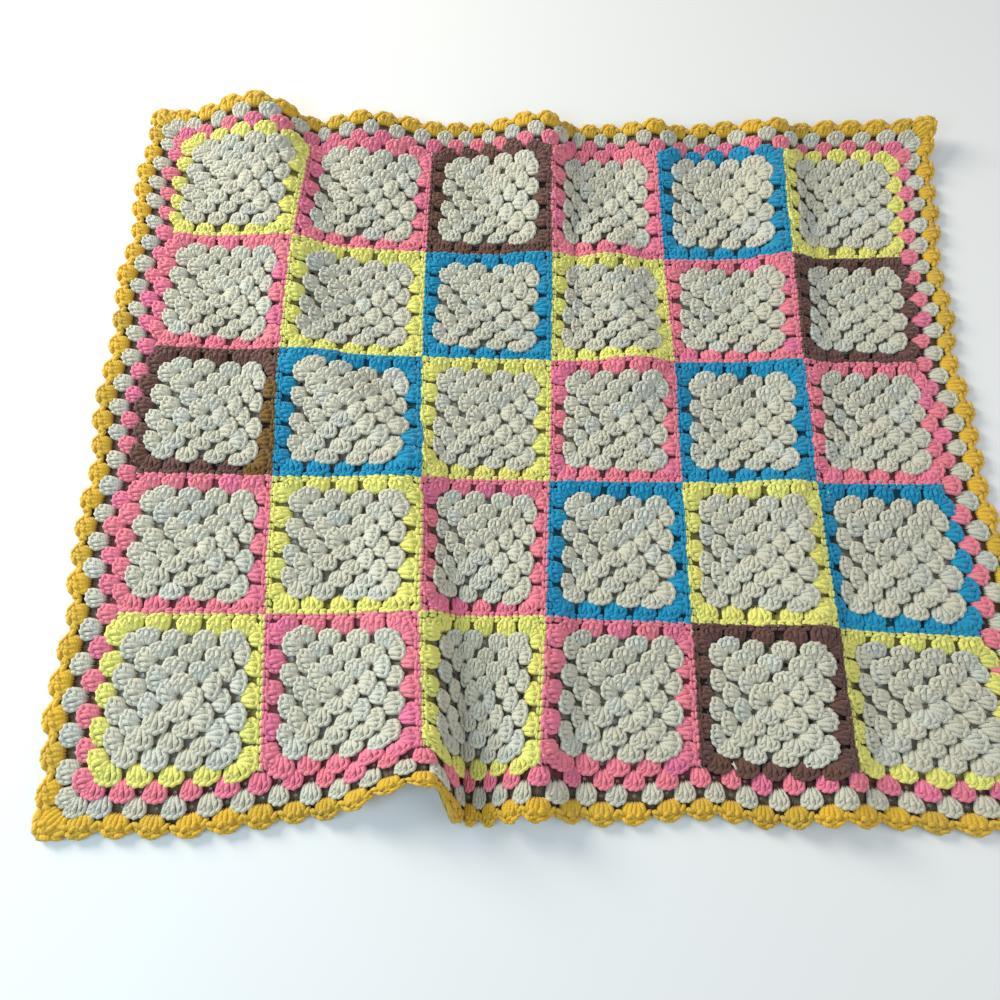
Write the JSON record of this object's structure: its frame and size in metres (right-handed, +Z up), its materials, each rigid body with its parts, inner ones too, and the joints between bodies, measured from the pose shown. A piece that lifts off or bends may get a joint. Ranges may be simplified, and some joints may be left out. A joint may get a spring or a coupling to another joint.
{
  "type": "crochet baby blanket",
  "caption": "Crochet baby blanket of sewn granny squares with a pointed shell border, lying in soft folds, to cover a cot or a child.",
  "frame": {"origin": "middle of the laid blanket's box, on the surface that it lies on", "axes": "+X along the longer side, +Y to the back edge, +Z up"},
  "size_m": [0.79, 0.6738, 0.0388],
  "materials": {
    "yarn_cream": "cream acrylic yarn, matt, worked in double crochet",
    "yarn_yellow": "yellow acrylic yarn, matt, worked in double crochet",
    "yarn_pink": "pink acrylic yarn, matt, worked in double crochet",
    "yarn_brown": "brown acrylic yarn, matt, worked in double crochet",
    "yarn_blue": "blue acrylic yarn, matt, worked in double crochet",
    "yarn_gold": "gold acrylic yarn, matt, worked in double crochet"
  },
  "bodies": {
    "root": {"granny_square_r1_c1": "yarn_yellow", "granny_square_r1_c2": "yarn_pink", "granny_square_r1_c3": "yarn_brown", "granny_square_r1_c4": "yarn_pink", "granny_square_r1_c5": "yarn_blue", "granny_square_r1_c6": "yarn_yellow", "granny_square_r2_c1": "yarn_pink", "granny_square_r2_c2": "yarn_yellow", "granny_square_r2_c3": "yarn_blue", "granny_square_r2_c4": "yarn_yellow", "granny_square_r2_c5": "yarn_pink", "granny_square_r2_c6": "yarn_brown", "granny_square_r3_c1": "yarn_brown", "granny_square_r3_c2": "yarn_blue", "granny_square_r3_c3": "yarn_yellow", "granny_square_r3_c4": "yarn_pink", "granny_square_r3_c5": "yarn_blue", "granny_square_r3_c6": "yarn_pink", "granny_square_r4_c1": "yarn_pink", "granny_square_r4_c2": "yarn_yellow", "granny_square_r4_c3": "yarn_pink", "granny_square_r4_c4": "yarn_blue", "granny_square_r4_c5": "yarn_yellow", "granny_square_r4_c6": "yarn_blue", "granny_square_r5_c1": "yarn_yellow", "granny_square_r5_c2": "yarn_pink", "granny_square_r5_c3": "yarn_yellow", "granny_square_r5_c4": "yarn_pink", "granny_square_r5_c5": "yarn_brown", "granny_square_r5_c6": "yarn_yellow", "border_round_1_pink": "yarn_pink", "border_round_2_cream": "yarn_cream", "border_round_3_gold": "yarn_gold"}
  },
  "joints": []
}
